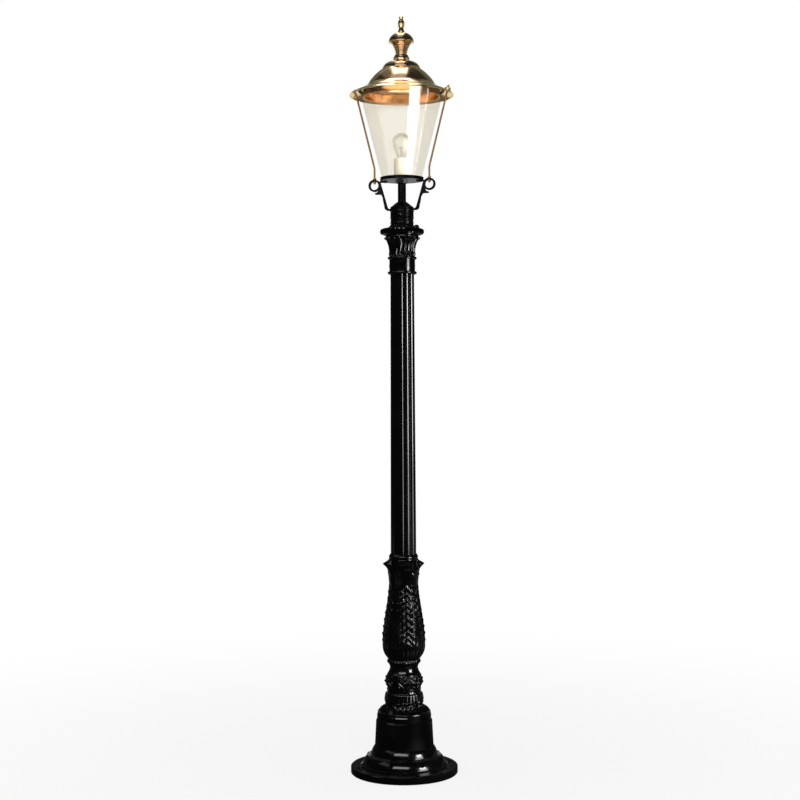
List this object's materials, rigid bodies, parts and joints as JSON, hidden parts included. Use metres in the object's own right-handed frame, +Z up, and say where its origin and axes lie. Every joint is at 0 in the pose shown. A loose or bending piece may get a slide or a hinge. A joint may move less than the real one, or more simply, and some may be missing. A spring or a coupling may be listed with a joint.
{
  "type": "lamp post",
  "caption": "Cast garden lamp post with a fluted shaft and leaf ornament, carrying a round glass lantern under a lift-off copper hood.",
  "frame": {"origin": "centre of the flange plate's underside, on the ground", "axes": "+Z up along the post, X along the two bracket arms of the lantern"},
  "size_m": [0.34, 0.34, 2.4015],
  "materials": {
    "black_paint": "deep gloss black paint over castings",
    "zinc_sheet": "plain grey zinc-coated sheet",
    "steel": "zinc-plated steel",
    "copper": "polished copper sheet",
    "brass": "polished brass",
    "lantern_glass": "clear blown glass",
    "bulb_glass": "clear lamp glass",
    "porcelain": "white glazed porcelain",
    "seal_rubber": "black sealing rubber",
    "lead_sheath": "black sheath",
    "solder": "soft solder",
    "tungsten": "tungsten wire"
  },
  "bodies": {
    "post": {"flange_plate": "black_paint", "base_bell": "black_paint", "pedestal": "black_paint", "baluster": "black_paint", "shaft": "black_paint", "capital": "black_paint", "lantern_foot": "black_paint", "cone_cap": "black_paint", "stem_tube": "black_paint", "bracket_right": "black_paint", "bracket_left": "black_paint", "gallery_ring": "black_paint", "base_screws": "black_paint", "capital_screws": "black_paint", "foot_bolts": "black_paint", "foot_screw": "black_paint", "stem_nuts": "black_paint", "tab_screws": "black_paint", "tab_nuts": "black_paint", "bottom_plate": "zinc_sheet", "terminal_strap": "steel", "strap_screws": "steel", "tie_plate": "steel", "tie_nuts": "steel", "tie_washer": "steel", "tie_tube": "steel", "rod_right": "brass", "rod_left": "brass", "rod_nuts": "brass", "holder_shell": "brass", "holder_contact": "brass", "glass_cone": "lantern_glass", "lamp_holder": "porcelain", "terminal_block": "porcelain", "glass_gasket": "seal_rubber", "inner_lead": "lead_sheath"},
    "hood": {"hood_shell": "copper", "rod_seats": "copper", "hood_collar": "copper", "hood_gasket": "seal_rubber", "hood_step": "copper", "hood_ring": "copper", "hood_neck": "copper", "hood_cap": "copper", "hood_bridge": "steel", "hood_nut": "steel", "hood_rod": "steel", "finial": "brass"},
    "bulb": {"bulb_contact": "solder", "bulb_cap": "brass", "bulb_glass": "bulb_glass", "bulb_stem": "bulb_glass", "filament": "tungsten"},
    "wing_nut_right": {"wing_nut_right": "brass"},
    "wing_nut_left": {"wing_nut_left": "brass"}
  },
  "joints": [
    {"name": "hood_lift", "type": "slide", "parent": "post", "child": "hood", "axis": [0, 0, 1], "range_m": [0, 0.25]},
    {"name": "wing_nut_right_off", "type": "slide", "parent": "post", "child": "wing_nut_right", "axis": [0.2435, 0, 0.9699], "range_m": [0, 0.275]},
    {"name": "wing_nut_left_off", "type": "slide", "parent": "post", "child": "wing_nut_left", "axis": [-0.2435, 0, 0.9699], "range_m": [0, 0.275]},
    {"name": "bulb_out", "type": "slide", "parent": "post", "child": "bulb", "axis": [0, 0, 1], "range_m": [0, 0.04]}
  ],
  "couplings": [
    {"joint": "wing_nut_right_off", "follows": "hood_lift", "ratio": 1.1},
    {"joint": "wing_nut_left_off", "follows": "hood_lift", "ratio": 1.1}
  ]
}
